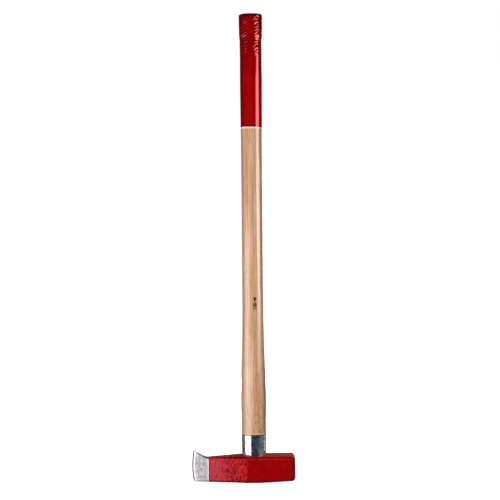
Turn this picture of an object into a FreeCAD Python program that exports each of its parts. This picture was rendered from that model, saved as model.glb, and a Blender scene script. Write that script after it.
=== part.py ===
"""Splitting maul: a forged steel head on an ash handle, standing on the head's underside.

Frame, in millimetres: +Z runs up the handle's axis, the cutting edge points to -X and the striking face
(the poll) to +X. The origin is on the handle's axis, in the plane of the head's underside, where the maul
stands.

The handle's tenon goes down through an oval eye in the head. A steel sleeve guards the wood just above the
head: its skirt seats on a ledge inside the eye's mouth, and the wood's shoulder traps it from above. A timber
wedge along the eye's long axis and two steel wedges across it spread the tenon from below. The red coat on
the head and the red lacquer on the grip are thin skins, each in a node of its own.
"""

import FreeCAD
import Part
import math
import os

V = FreeCAD.Vector

# ---------------------------------------------------------------- driving dimensions
OVERALL_LENGTH = 900.0      # underside of the head to the top of the grip
EDGE_REACH = 120.0          # handle axis to the cutting edge
POLL_REACH = 78.5           # handle axis to the striking face
HEAD_HEIGHT = 50.5          # underside to top face, at the eye
HEAD_THICKNESS = 56.0       # across the cheeks, at the eye and the poll
NOSE_HEIGHT = 60.7          # underside to the tip of the turning nose, before it is rounded
COAT = 0.25                 # red paint on the head
LACQUER = 0.30              # red lacquer on the grip
FIT_GAP = 0.03              # between pieces that bear on each other

# ---------------------------------------------------------------- head
WAIST_X = -88.0             # narrowest height, where the paint stops and the ground bit begins
WAIST_HEIGHT = 47.4
WAIST_HALF = 8.2            # half thickness there
NOSE_ROOT_X = -94.0         # foot of the slope up to the nose
SHOULDER_X = -25.0          # the top edge is level from here to the poll
CHEEK_X = -14.0             # the cheeks are parallel from here to the poll
CHEEK_BLEND = 60.0          # radius that blends wedge into block
EDGE_ARC = 160.0            # radius of the cutting edge, seen from the side
EDGE_MIDDLE_Z = 31.0        # height of its foremost point
EDGE_HALF = 0.9             # half thickness of the ground bit at the cutting edge, before honing
EDGE_LAND = 0.4             # half thickness of the honed cutting edge
BEVEL_ANGLE = 22.5          # of the honed bevel, each side
LOWER_CORNER = 4.0          # radius below the cutting edge
NOSE_TIP = 1.5              # radius at the tip of the nose
NOSE_HOLLOW = 22.0          # radius of the hollow behind the nose
RELIEF_X = 15.0             # the underside rises from here to the poll
RELIEF_HEIGHT = 3.6
BLOCK_CHAMFER = 4.5         # on the long edges of the block
WAIST_CHAMFER = 2.0         # on the long edges at the waist
TIP_CHAMFER = 0.6           # on the long edges at the cutting edge
POLL_CHAMFER = 4.0          # rim of the striking face
MARGIN = 5.0                # how far a cutting solid runs past what it cuts
REACH = 200.0               # larger than the head in every direction

# ---------------------------------------------------------------- eye, as (length along X, width along Y)
EYE_LEDGE = (44.0, 30.6)    # just below the sleeve's skirt
EYE_WAIST = (42.4, 29.0)
EYE_FOOT = (47.0, 35.0)     # at the underside, where the wedges have spread the tenon
EYE_WAIST_Z = 26.0
EYE_RIM = 1.2               # chamfer on both rims

# ---------------------------------------------------------------- sleeve
SLEEVE_SEAT = 12.0          # depth of the skirt in the eye
SLEEVE_RISE = 40.5          # height above the top face
SLEEVE_WALL = 1.2
SLEEVE_FOOT = (46.4, 33.0)
SLEEVE_TOP = (47.8, 34.4)
LEDGE_Z = HEAD_HEIGHT - SLEEVE_SEAT
SLEEVE_TOP_Z = HEAD_HEIGHT + SLEEVE_RISE

# ---------------------------------------------------------------- handle
SHOULDER = (46.8, 33.4)      # bare wood just above the sleeve, which stands a little proud of it
HANDLE_SECTIONS = [         # bare wood: (height, length along X, width along Y)
    (SLEEVE_TOP_Z, *SHOULDER),
    (112.0, 47.3, 33.8),
    (148.0, 48.8, 34.9),
    (190.0, 47.4, 34.0),
    (232.0, 44.6, 32.2),
    (275.0, 42.3, 30.7),
    (330.0, 40.8, 29.7),
    (430.0, 40.3, 29.3),
    (540.0, 40.2, 29.3),
    (640.0, 40.6, 29.6),
    (705.0, 41.2, 30.1),
    (770.0, 42.0, 30.8),
    (815.0, 41.6, 30.5),
    (848.0, 41.9, 30.8),
]
FLARE_SECTIONS = [          # the grip's flared end, straight-sided from each of these to the next
    HANDLE_SECTIONS[-1],
    (860.0, 44.0, 32.3),
    (880.0, 44.5, 32.7),
    (OVERALL_LENGTH - LACQUER, 44.9, 33.0),
]
GRIP_LINE = 681.5           # lower end of the lacquer
END_RADIUS = 3.5            # rim of the handle's top
TENON_RECESS = 0.6          # the tenon stops this far above the underside

# ---------------------------------------------------------------- wedges
TIMBER_DEPTH = 34.0
TIMBER_FOOT = 7.0           # thickness along Y
TIMBER_POINT = 1.4
KERF_BEYOND = 8.0           # the saw cut runs this far past the timber wedge's point
STEEL_DEPTH = 26.0
STEEL_WIDTH = 22.0          # along Y, clear of the eye's wall
STEEL_FOOT = 4.6            # thickness along X
STEEL_POINT = 0.8
STEEL_X = 11.5              # either side of the handle's axis
BARB_COUNT = 3              # notches on each face that keep the wedge from backing out
BARB_PITCH = 6.0
BARB_DEPTH = 0.5


def prism(points, place, along):
    """Solid over the polygon through 2D points, each put in space by place(a, b)."""
    corners = [place(a, b) for a, b in points]
    return Part.Face(Part.makePolygon(corners + corners[:1])).extrude(along)


def round_edges(solid, radius, spots):
    """Rounds the straight edges whose middles are nearest to the spots."""
    straight = [e for e in solid.Edges if isinstance(e.Curve, Part.Line)]
    nearest = [min(straight, key=lambda e: (e.CenterOfMass - spot).Length) for spot in spots]
    return solid.makeFillet(radius, nearest)


def oval(z, size, grow=0.0):
    """Closed wire of an ellipse at a height, grown outwards by grow."""
    long_half = size[0] / 2 + grow
    short_half = size[1] / 2 + grow
    curve = Part.Ellipse(V(0, 0, z), long_half, short_half)
    return Part.Wire([curve.toShape()])


def frustum(z0, size0, z1, size1, grow=0.0):
    """Straight-sided oval solid between two heights."""
    return Part.makeLoft([oval(z0, size0, grow), oval(z1, size1, grow)], True, True)


# ---------------------------------------------------------------- head
def edge_x(z):
    """Where the cutting edge is, at a height."""
    return EDGE_ARC - EDGE_REACH - math.sqrt(EDGE_ARC ** 2 - (z - EDGE_MIDDLE_Z) ** 2)


def side_outline(inset):
    """The head seen from the side, through more than its whole thickness."""
    def at(x, z):
        return V(x, -HEAD_THICKNESS, z)

    nose, waist, top = NOSE_HEIGHT - inset, WAIST_HEIGHT - inset, HEAD_HEIGHT - inset
    tip = at(edge_x(nose), nose)
    toe = at(edge_x(inset), inset)
    root = at(NOSE_ROOT_X, waist)
    corners = [
        tip,
        root,
        at(WAIST_X, waist),
        at(SHOULDER_X, top),
        at(POLL_REACH - inset, top),
        at(POLL_REACH - inset, RELIEF_HEIGHT + inset),
        at(RELIEF_X, inset),
        toe,
    ]
    edge = Part.Arc(toe, at(-EDGE_REACH, EDGE_MIDDLE_Z), tip).toShape()
    lines = [Part.LineSegment(a, b).toShape() for a, b in zip(corners, corners[1:])]
    solid = Part.Face(Part.Wire([edge] + lines)).extrude(V(0, 2 * HEAD_THICKNESS, 0))
    for corner, radius in ((root, NOSE_HOLLOW), (tip, NOSE_TIP), (toe, LOWER_CORNER)):
        solid = round_edges(solid, radius, [V(corner.x, 0, corner.z)])
    return solid


def plan_outline(inset):
    """The head seen from above: a wedge that blends into a block."""
    half = HEAD_THICKNESS / 2 - inset
    front_x = -EDGE_REACH - 1.0
    slope = (WAIST_HALF - EDGE_HALF) / (WAIST_X + EDGE_REACH)
    front_half = EDGE_HALF + slope * (front_x + EDGE_REACH) - inset
    cheek = [
        (front_x, front_half),
        (WAIST_X, WAIST_HALF - inset),
        (CHEEK_X, half),
        (POLL_REACH + MARGIN, half),
    ]
    other = [(x, -y) for x, y in reversed(cheek)]
    solid = prism(cheek + other, lambda x, y: V(x, y, -REACH / 2), V(0, 0, REACH))
    return round_edges(solid, CHEEK_BLEND, [V(CHEEK_X, half, 0), V(CHEEK_X, -half, 0)])


def inside_chamfers(line, up):
    """What lies inside the two long chamfers at the top (up = 1) or the underside (up = -1).

    line holds (x, height) where each 45 degree chamfer's plane, carried on inwards, meets the middle plane.
    """
    first, last = line[0], line[-1]
    region = line + [(last[0], -up * REACH), (first[0], -up * REACH)]
    cheek_sides = []
    for side in (1, -1):
        y0 = -side * HEAD_THICKNESS
        along = V(0, -2 * y0, -2 * up * HEAD_THICKNESS)
        cheek_sides.append(prism(region, lambda x, z: V(x, y0, z + up * HEAD_THICKNESS), along))
    return cheek_sides[0].common(cheek_sides[1])


def top_chamfers(inset):
    ahead_x = -EDGE_REACH - MARGIN
    tip = NOSE_HEIGHT + EDGE_HALF - TIP_CHAMFER
    root = WAIST_HEIGHT + WAIST_HALF - WAIST_CHAMFER
    block = HEAD_HEIGHT + HEAD_THICKNESS / 2 - BLOCK_CHAMFER
    rise = (tip - root) / (NOSE_ROOT_X + EDGE_REACH)
    line = [
        (ahead_x, tip + rise * MARGIN),
        (NOSE_ROOT_X, root),
        (WAIST_X, root),
        (CHEEK_X, block),
        (POLL_REACH + MARGIN, block),
    ]
    return inside_chamfers([(x, z - inset * math.sqrt(2)) for x, z in line], 1)


def underside_chamfers(inset):
    ahead_x = -EDGE_REACH - MARGIN
    far_x = POLL_REACH + MARGIN
    relief = RELIEF_HEIGHT * (far_x - RELIEF_X) / (POLL_REACH - RELIEF_X)
    block = BLOCK_CHAMFER - HEAD_THICKNESS / 2
    line = [
        (ahead_x, TIP_CHAMFER - EDGE_HALF),
        (WAIST_X, WAIST_CHAMFER - WAIST_HALF),
        (CHEEK_X, block),
        (RELIEF_X, block),
        (far_x, relief + block),
    ]
    return inside_chamfers([(x, z + inset * math.sqrt(2)) for x, z in line], -1)


def outside_honed_bevel():
    """What the honed bevel takes off: the space in front of two cones that meet along the cutting edge."""
    centre_x = EDGE_ARC - EDGE_REACH
    depth = 2 * MARGIN
    slope = math.tan(math.radians(BEVEL_ANGLE))
    radius = EDGE_ARC + EDGE_LAND / slope
    cones = [
        Part.makeCone(radius, radius - depth / slope, depth, V(centre_x, 0, EDGE_MIDDLE_Z), V(0, side, 0))
        for side in (1, -1)
    ]
    front = Part.makeBox(4 * MARGIN, 2 * depth, REACH, V(-EDGE_REACH - 2 * MARGIN, -depth, -REACH / 4))
    return front.cut(cones[0]).cut(cones[1])


def head_envelope(inset=0.0):
    """The head with no eye: its outside as painted, or lying deeper by inset."""
    solid = side_outline(inset).common(plan_outline(inset))
    solid = solid.common(top_chamfers(inset)).common(underside_chamfers(inset))
    solid = solid.cut(outside_honed_bevel())
    face = max(solid.Faces, key=lambda f: f.CenterOfMass.x)
    return solid.makeChamfer(POLL_CHAMFER, face.Edges)


def sleeve_outside(grow=0.0):
    return frustum(LEDGE_Z, SLEEVE_FOOT, SLEEVE_TOP_Z, SLEEVE_TOP, grow)


def eye_bore(z_foot, grow=0.0):
    """The eye below the sleeve: two tapers that meet at a waist, from z_foot up."""
    lower = frustum(0, EYE_FOOT, EYE_WAIST_Z, EYE_WAIST, grow)
    upper = frustum(EYE_WAIST_Z, EYE_WAIST, LEDGE_Z, EYE_LEDGE, grow)
    bore = lower.fuse(upper)
    trim = Part.makeBox(REACH, REACH, REACH, V(-REACH / 2, -REACH / 2, z_foot - REACH))
    return bore.cut(trim)


def eye_void():
    """All that is cut out of the head for the handle and the sleeve."""
    mouth = sleeve_outside(FIT_GAP)
    wide = (EYE_FOOT[0] + 2 * EYE_RIM, EYE_FOOT[1] + 2 * EYE_RIM)
    below = frustum(-MARGIN, wide, 0, wide)
    foot_rim = frustum(0, wide, EYE_RIM, EYE_FOOT)
    share = SLEEVE_SEAT / (SLEEVE_SEAT + SLEEVE_RISE)
    mouth_size = [a + share * (b - a) for a, b in zip(SLEEVE_FOOT, SLEEVE_TOP)]
    flared = [a + 2 * EYE_RIM for a in mouth_size]
    mouth_rim = frustum(HEAD_HEIGHT - EYE_RIM, mouth_size, HEAD_HEIGHT, flared)
    above = frustum(HEAD_HEIGHT, flared, HEAD_HEIGHT + MARGIN, flared)
    return mouth.multiFuse([eye_bore(0), below, foot_rim, mouth_rim, above])


def head_pieces():
    """The bare forging, and the coat of paint on all of it but the ground bit and the eye."""
    painted = head_envelope()
    forging = head_envelope(COAT)
    behind_bit = Part.makeBox(REACH, REACH, REACH, V(WAIST_X, -REACH / 2, -REACH / 2))
    void = eye_void()
    coat = painted.common(behind_bit).cut(forging).cut(void)
    return forging.cut(void), coat


# ---------------------------------------------------------------- sleeve
def sleeve():
    """Tapered oval tube, with its top rim rounded over."""
    inside = sleeve_outside(-SLEEVE_WALL)
    tube = sleeve_outside().cut(inside)
    rim = [e for e in tube.Edges if e.BoundBox.ZMin > SLEEVE_TOP_Z - 0.1]
    outer_rim = max(rim, key=lambda e: e.Length)
    return tube.makeFillet(SLEEVE_WALL / 3, [outer_rim])


# ---------------------------------------------------------------- wedges
def wedge(foot, point, depth, width, spread):
    """Tapered wedge standing point up on the tenon's end, centred on the axis. It is thick along spread."""
    across = V(0, 0, 1).cross(spread)

    def place(a, z):
        return spread * a - across * (width / 2) + V(0, 0, TENON_RECESS + z)

    faces = [(-foot / 2, 0), (foot / 2, 0), (point / 2, depth), (-point / 2, depth)]
    return prism(faces, place, across * width)


def steel_wedge(x, barbed=True):
    """Wedge across the eye. Its notches each leave a step that faces down and bites in the wood."""
    body = wedge(STEEL_FOOT, STEEL_POINT, STEEL_DEPTH, STEEL_WIDTH, V(1, 0, 0))
    taper = (STEEL_FOOT - STEEL_POINT) / 2 / STEEL_DEPTH
    for i in range(BARB_COUNT if barbed else 0):
        top = BARB_PITCH * (i + 1)
        low = top - BARB_PITCH / 3
        face = STEEL_FOOT / 2 - taper * top
        low_face = face + taper * (top - low)
        notch = [(face - BARB_DEPTH, top), (STEEL_FOOT, top), (STEEL_FOOT, low), (low_face, low)]
        for side in (1, -1):
            cutter = prism(notch, lambda a, z: V(side * a, -STEEL_WIDTH, TENON_RECESS + z),
                           V(0, 2 * STEEL_WIDTH, 0))
            body = body.cut(cutter)
    body.translate(V(x, 0, 0))
    return body


def steel_wedge_spaces():
    return [steel_wedge(x, barbed=False) for x in (-STEEL_X, STEEL_X)]


def tenon():
    """What fills the eye below the sleeve: the wood and the wedges together."""
    return eye_bore(TENON_RECESS, -FIT_GAP)


def timber_space():
    """The opened kerf, which the timber wedge fills from one end of the eye to the other."""
    return wedge(TIMBER_FOOT, TIMBER_POINT, TIMBER_DEPTH, REACH, V(0, 1, 0))


def timber_wedge():
    solid = timber_space().common(tenon())
    for space in steel_wedge_spaces():
        solid = solid.cut(space)
    return solid


# ---------------------------------------------------------------- handle
def handle_outside(grow=0.0):
    """The handle above the sleeve, grown outwards by grow, with its top rim rounded."""
    shaft = Part.makeLoft([oval(z, (a, b), grow) for z, a, b in HANDLE_SECTIONS], True, False)
    end_z = FLARE_SECTIONS[-1][0]
    flare_ovals = [oval(z + (grow if z == end_z else 0), (a, b), grow) for z, a, b in FLARE_SECTIONS]
    flare = Part.makeLoft(flare_ovals, True, True)
    rim = max(flare.Edges, key=lambda e: e.CenterOfMass.z)
    return shaft.fuse(flare.makeFillet(END_RADIUS, [rim]))


def handle():
    """One length of ash: the grip, the swell, the neck in the sleeve and the split tenon in the eye."""
    neck = sleeve_outside(-SLEEVE_WALL - FIT_GAP)
    wood = handle_outside().multiFuse([neck, tenon()])
    kerf_size = (REACH, TIMBER_POINT, TIMBER_DEPTH + KERF_BEYOND)
    kerf = Part.makeBox(*kerf_size, V(-REACH / 2, -TIMBER_POINT / 2, TENON_RECESS))
    for space in [timber_space(), kerf] + steel_wedge_spaces():
        wood = wood.cut(space)
    return wood


def grip_lacquer():
    """Thin skin that the grip was dipped in, over its sides and its end."""
    above_line = Part.makeBox(REACH, REACH, OVERALL_LENGTH, V(-REACH / 2, -REACH / 2, GRIP_LINE))
    return handle_outside(LACQUER).common(above_line).cut(handle_outside())


# ---------------------------------------------------------------- parts
def main():
    forging, coat = head_pieces()
    nodes = {
        "maul_head": forging,
        "head_paint": coat,
        "handle_sleeve": sleeve(),
        "handle": handle(),
        "grip_lacquer": grip_lacquer(),
        "timber_wedge": timber_wedge(),
        "steel_wedge_bit_side": steel_wedge(-STEEL_X),
        "steel_wedge_poll_side": steel_wedge(STEEL_X),
    }
    os.makedirs("parts", exist_ok=True)
    for name, shape in nodes.items():
        shape.exportStep(f"parts/{name}.step")
        print(f"{name}: {len(shape.Solids)} solid, {shape.Volume / 1000:.1f} cm3, valid {shape.isValid()}")


main()
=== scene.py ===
"""Splitting maul: the looks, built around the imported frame.

The head, its paint, the handle, the grip's lacquer and the sleeve are finer meshes that stand for their CAD
nodes. The three wedges in the eye are the CAD nodes themselves. Sizes are in millimetres until a mesh is
made, and places come from the CAD nodes' boxes.
"""

import math

import bmesh
import bpy
import numpy as np
from mathutils import Euler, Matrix, Quaternion, Vector, noise


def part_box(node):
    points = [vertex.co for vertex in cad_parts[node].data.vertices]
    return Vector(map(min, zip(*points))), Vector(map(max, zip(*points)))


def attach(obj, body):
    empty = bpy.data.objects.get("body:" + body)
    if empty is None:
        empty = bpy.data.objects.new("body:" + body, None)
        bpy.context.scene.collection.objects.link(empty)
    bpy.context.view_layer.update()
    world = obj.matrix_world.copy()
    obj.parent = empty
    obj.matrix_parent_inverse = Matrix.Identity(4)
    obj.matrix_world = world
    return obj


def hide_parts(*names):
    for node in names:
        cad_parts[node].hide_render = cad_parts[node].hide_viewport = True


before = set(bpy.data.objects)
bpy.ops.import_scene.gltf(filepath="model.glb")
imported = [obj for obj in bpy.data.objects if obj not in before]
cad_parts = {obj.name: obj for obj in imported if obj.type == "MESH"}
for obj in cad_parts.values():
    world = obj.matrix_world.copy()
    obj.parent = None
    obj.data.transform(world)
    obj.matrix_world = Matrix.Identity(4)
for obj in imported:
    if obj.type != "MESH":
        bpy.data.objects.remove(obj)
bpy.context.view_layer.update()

MM = 0.001
BODY = "root"
CREASE_ANGLE = math.radians(32)


def box_mm(node):
    """Lowest and highest corner of a CAD node, in millimetres."""
    low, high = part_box(node)
    return np.array(low) / MM, np.array(high) / MM


FORGING_LOW, FORGING_HIGH = box_mm("maul_head")
PAINT_LOW, PAINT_HIGH = box_mm("head_paint")
SLEEVE_LOW, SLEEVE_HIGH = box_mm("handle_sleeve")
WOOD_LOW, WOOD_HIGH = box_mm("handle")
LACQUER_LOW, LACQUER_HIGH = box_mm("grip_lacquer")

# ---------------------------------------------------------------- head
EDGE_X = FORGING_LOW[0]
WAIST_X = PAINT_LOW[0]
POLL_X = PAINT_HIGH[0]
BLOCK_HALF = PAINT_HIGH[1]
TOP_Z = PAINT_HIGH[2]
COAT = PAINT_HIGH[0] - FORGING_HIGH[0]
WAIST_Z = 47.4              # height of the head at the waist
NOSE_ROOT_X = -94.0
NOSE_Z = 60.7               # where the nose's upper side would meet the cutting edge, unrounded
SHOULDER_X = -25.0
CHEEK_X = -14.0
WAIST_HALF = 8.2
EDGE_HALF = 0.9
EDGE_LAND = 0.4
BEVEL_SLOPE = math.tan(math.radians(22.5))
EDGE_ARC = 160.0
EDGE_MIDDLE_Z = 31.0
TOE_RADIUS = 4.0
TIP_ROUNDING = 1.5
TIP_LENGTH = 2.2            # how far back from the nose's tip its rounding reaches
SHOULDER_BLEND = 0.8        # widths over which neighbouring faces run into each other
NOSE_BLEND = 3.6
CHEEK_BLEND = 2.1
RELIEF_X = 15.0
RELIEF_HEIGHT = 3.6
POLL_CHAMFER = 4.0
CHAMFERS = (0.3, 2.0, 4.5)  # along the head, at the cutting edge, the waist and the cheek
HIDDEN_INSET = 0.8          # how far the forging lies under the paint's outside, where paint hides it

# ---------------------------------------------------------------- eye, sleeve and handle: (length X, width Y)
EYE_FOOT = (47.0, 35.0)
EYE_WAIST = (42.4, 29.0)
EYE_LEDGE = (44.0, 30.6)
EYE_WAIST_Z = 26.0
EYE_RIM = 1.2
MOUTH_GROW = 0.1            # how much wider than the sleeve's line the eye's mouth is cut
SLEEVE_FOOT = (46.4, 33.0)
SLEEVE_TOP = (47.8, 34.4)
SHOULDER = (46.8, 33.4)     # bare wood just above the sleeve
SLEEVE_WALL = 1.2
FIT_GAP = 0.03
HANDLE_SECTIONS = [         # bare wood: (height, length, width)
    (SLEEVE_HIGH[2], *SHOULDER),
    (112.0, 47.3, 33.8),
    (148.0, 48.8, 34.9),
    (190.0, 47.4, 34.0),
    (232.0, 44.6, 32.2),
    (275.0, 42.3, 30.7),
    (330.0, 40.8, 29.7),
    (430.0, 40.3, 29.3),
    (540.0, 40.2, 29.3),
    (640.0, 40.6, 29.6),
    (705.0, 41.2, 30.1),
    (770.0, 42.0, 30.8),
    (815.0, 41.6, 30.5),
    (848.0, 41.9, 30.8),
    (860.0, 44.0, 32.3),
    (880.0, 44.5, 32.7),
    (WOOD_HIGH[2], 44.9, 33.0),
]
LACQUER = LACQUER_HIGH[2] - WOOD_HIGH[2]
LACQUER_RISE = 0.6          # of the lacquer's lower edge over its CAD box, on the handle's axis
LACQUER_SLANT = 0.025       # how much that edge drops per mm towards +X
WRINKLE_PITCH = 6.2         # of the wrinkles in the lacquer at the grip's end
WRINKLES_FROM = (816.0, 828.0)
END_RADIUS = 3.5
WEDGE_THICKNESS = {         # at the foot and at the point
    "timber_wedge": (7.0, 1.4),
    "steel_wedge_bit_side": (4.6, 0.8),
    "steel_wedge_poll_side": (4.6, 0.8),
}
TIMBER_REACH = 60.0         # half of the timber wedge's slot, past both ends of the tenon
CUT_PAST = 2.0              # how far the slots run on below the tenon


# ---------------------------------------------------------------- numbers
def smooth_min(a, b, width):
    """The smaller of two, rounded over where they are within width of each other."""
    near = np.maximum(width - np.abs(a - b), 0) / width
    return np.minimum(a, b) - near * near * width / 4


def smooth_max(a, b, width):
    """The larger of two, rounded in the same way."""
    return -smooth_min(-a, -b, width)


def smoothstep(a, b, x):
    """0 at a and 1 at b, with no corners. a may be the larger."""
    t = np.clip((x - a) / (b - a), 0, 1)
    return t * t * (3 - 2 * t)


def line(x, x0, y0, x1, y1):
    """Height at x of the straight line through two points."""
    return y0 + (y1 - y0) * (x - x0) / (x1 - x0)


def wobble(points, size, seed, octaves=2):
    """Smooth noise of about -1 to 1 at points in mm, with lumps about size mm wide along each axis."""
    scaled = points / np.array(size) + np.array((seed * 17.3, seed * 5.1, seed * 9.7))
    return np.array([noise.fractal(Vector(p), 1.0, 2.0, octaves) for p in scaled])


# ---------------------------------------------------------------- meshes
def ring_faces(rows, columns, loop):
    """Quads between neighbouring rings of vertices."""
    faces = []
    for r in range(rows if loop else rows - 1):
        above = (r + 1) % rows
        for c in range(columns):
            d = (c + 1) % columns
            faces.append((r * columns + c, r * columns + d, above * columns + d, above * columns + c))
    return faces


def loft(name, rings, loop=False):
    """Closed mesh through rings, in mm. Its ends get a fan each, or it loops back to the first ring."""
    rows, columns = len(rings), len(rings[0])
    points = np.concatenate(rings)
    faces = ring_faces(rows, columns, loop)
    if not loop:
        points = np.concatenate([points, [np.mean(rings[0], axis=0), np.mean(rings[-1], axis=0)]])
        first, last = rows * columns, rows * columns + 1
        top = (rows - 1) * columns
        for c in range(columns):
            d = (c + 1) % columns
            faces.append((first, d, c))
            faces.append((last, top + c, top + d))
    mesh = bpy.data.meshes.new(name)
    mesh.from_pydata((points * MM).tolist(), [], faces)
    mesh.update()
    piece = bpy.data.objects.new(name, mesh)
    bpy.context.scene.collection.objects.link(piece)
    return face_outwards(piece)


def face_outwards(piece):
    """Turns the faces over if the mesh's signed volume is negative."""
    mesh = piece.data
    mesh.calc_loop_triangles()
    co = positions(mesh)
    tri = np.empty(len(mesh.loop_triangles) * 3, np.int32)
    mesh.loop_triangles.foreach_get("vertices", tri)
    a, b, c = (co[tri.reshape(-1, 3)[:, i]] for i in range(3))
    if np.einsum("ij,ij->i", a, np.cross(b, c)).sum() < 0:
        mesh.flip_normals()
    return piece


def positions(mesh):
    """The mesh's vertices in metres, one row each."""
    co = np.empty(len(mesh.vertices) * 3)
    mesh.vertices.foreach_get("co", co)
    return co.reshape(-1, 3)


def push(piece, height):
    """Moves each vertex along its normal by height(points), both in mm."""
    mesh = piece.data
    co = positions(mesh)
    normals = np.empty(len(mesh.vertices) * 3)
    mesh.vertex_normals.foreach_get("vector", normals)
    co = co + normals.reshape(-1, 3) * (height(co / MM) * MM)[:, None]
    mesh.vertices.foreach_set("co", co.ravel())
    mesh.update()


def shown_part(piece, first):
    """1 for each vertex from number first on, and 0 for the hidden ones and for the middle of their end."""
    shown = np.zeros(len(piece.data.vertices))
    shown[first:] = 1
    shown[-2] = 0
    return shown


def keep_above(piece, z):
    """Flattens whatever lies lower than z mm onto that height."""
    co = positions(piece.data)
    co[:, 2] = np.maximum(co[:, 2], z * MM)
    piece.data.vertices.foreach_set("co", co.ravel())
    piece.data.update()


def cut(piece, *cutters):
    """Takes closed meshes out of the piece, and deletes them."""
    for cutter in cutters:
        modifier = piece.modifiers.new("cut", "BOOLEAN")
        modifier.operation = "DIFFERENCE"
        modifier.solver = "MANIFOLD"
        modifier.object = cutter
    apply_modifiers(piece)
    drop_middle_corners(piece.data)
    for cutter in cutters:
        bpy.data.objects.remove(cutter)


def drop_middle_corners(mesh):
    """Dissolves vertices that only two edges meet at, which would give triangles lying back to back."""
    work = bmesh.new()
    work.from_mesh(mesh)
    bmesh.ops.dissolve_verts(work, verts=[v for v in work.verts if len(v.link_edges) == 2])
    work.to_mesh(mesh)
    work.free()


def apply_modifiers(piece):
    """Swaps the piece's mesh for the one that its modifiers make."""
    graph = bpy.context.evaluated_depsgraph_get()
    mesh = bpy.data.meshes.new_from_object(piece.evaluated_get(graph))
    piece.modifiers.clear()
    piece.data = mesh


def mesh_material(piece, material):
    """Smooth shading with creases, and one material."""
    piece.data.materials.clear()
    piece.data.materials.append(material)
    piece.data.shade_smooth()
    piece.data.set_sharp_from_angle(angle=CREASE_ANGLE)


def finish_piece(piece, material, nodes):
    """Material, body, and the CAD nodes that the piece stands for, which it hides."""
    mesh_material(piece, material)
    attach(piece, BODY)
    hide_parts(*nodes)


def oval(z, length, width, count, grow=0.0):
    """Ring of points on an ellipse at height z. z may be an array, one height per point."""
    angles = np.linspace(0, 2 * math.pi, count, endpoint=False)
    ring = np.empty((count, 3))
    ring[:, 0] = (length / 2 + grow) * np.cos(angles)
    ring[:, 1] = (width / 2 + grow) * np.sin(angles)
    ring[:, 2] = z
    return ring


# ---------------------------------------------------------------- head's shape
def edge_x(z):
    """The cutting edge, a shallow arc seen from the side."""
    return EDGE_ARC + EDGE_X - np.sqrt(EDGE_ARC ** 2 - (z - EDGE_MIDDLE_Z) ** 2)


def head_top(x):
    """Height of the upper side: level over the block, down to the waist, and up again to the nose."""
    nose = line(x, edge_x(NOSE_Z), NOSE_Z, NOSE_ROOT_X, WAIST_Z)
    slope = np.maximum(line(x, WAIST_X, WAIST_Z, SHOULDER_X, TOP_Z), WAIST_Z)
    back = smooth_min(slope, TOP_Z, SHOULDER_BLEND)
    t = np.clip((edge_x(NOSE_Z) + TIP_LENGTH - x) / TIP_LENGTH, 0, 1)
    return smooth_max(nose, back, NOSE_BLEND) - TIP_ROUNDING * (1 - np.sqrt(1 - t * t))


def head_bottom(x):
    """Height of the underside: flat, with a rounded toe, and rising a little behind the eye."""
    relief = np.maximum(line(x, RELIEF_X, 0, POLL_X, RELIEF_HEIGHT), 0)
    into_toe = np.clip(edge_x(TOE_RADIUS) + TOE_RADIUS - x, 0, TOE_RADIUS)
    return relief + TOE_RADIUS - np.sqrt(TOE_RADIUS ** 2 - into_toe ** 2)


def head_half(x, z):
    """Half the head's thickness: bevel, ground bit, cheek and block."""
    ground = line(x, EDGE_X, EDGE_HALF, WAIST_X, WAIST_HALF)
    cheek = line(x, WAIST_X, WAIST_HALF, CHEEK_X, BLOCK_HALF)
    honed = EDGE_LAND + BEVEL_SLOPE * np.maximum(x - edge_x(z), 0)
    return np.minimum(smooth_min(np.where(x < WAIST_X, ground, cheek), BLOCK_HALF, CHEEK_BLEND), honed)


def head_chamfer(x):
    """Chamfer along the head's four long edges."""
    return np.interp(x, [EDGE_X, WAIST_X, CHEEK_X], CHAMFERS)


def half_section(flat, chamfer, side, corner):
    """Where the points up one side of a section lie: (name of the stretch, share along it). Takes how many
    points go on half a flat, on a chamfer, on the side and on a rounded corner."""
    plan = []
    for kind, count in (("bottom", flat), ("c0", corner), ("low", chamfer), ("c1", corner), ("side", side),
                        ("c2", corner), ("high", chamfer), ("c3", corner), ("top", flat)):
        plan += [(kind, i / count) for i in range(count)]
    return plan


def rounded_half(half, low, high, chamfer, radius, plan):
    """Points (y, z) up one side of a chamfered section, with its four corners rounded."""
    corners = [(half - chamfer, low), (half, low + chamfer), (half, high - chamfer), (half - chamfer, high)]
    path = [(0.0, low)] + corners + [(0.0, high)]
    reach = radius * math.tan(math.pi / 8)
    ends = {}
    for i in range(1, 5):
        here = np.array(path[i])
        before = here + reach * unit(np.array(path[i - 1]) - here)
        after = here + reach * unit(np.array(path[i + 1]) - here)
        ends[f"c{i - 1}"] = (before, here, after)
    spans = {
        "bottom": (np.array(path[0]), ends["c0"][0]),
        "low": (ends["c0"][2], ends["c1"][0]),
        "side": (ends["c1"][2], ends["c2"][0]),
        "high": (ends["c2"][2], ends["c3"][0]),
        "top": (ends["c3"][2], np.array(path[5])),
    }
    points = []
    for kind, t in plan:
        if kind in spans:
            a, b = spans[kind]
            points.append(a + (b - a) * t)
        else:
            a, b, c = ends[kind]
            points.append(a * (1 - t) ** 2 + b * 2 * t * (1 - t) + c * t * t)
    points.append(np.array(path[5]))
    return np.array(points)


def unit(v):
    """The vector at length 1."""
    return v / max(np.linalg.norm(v), 1e-9)


SECTION_PLAN = half_section(flat=22, chamfer=6, side=42, corner=3)


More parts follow.
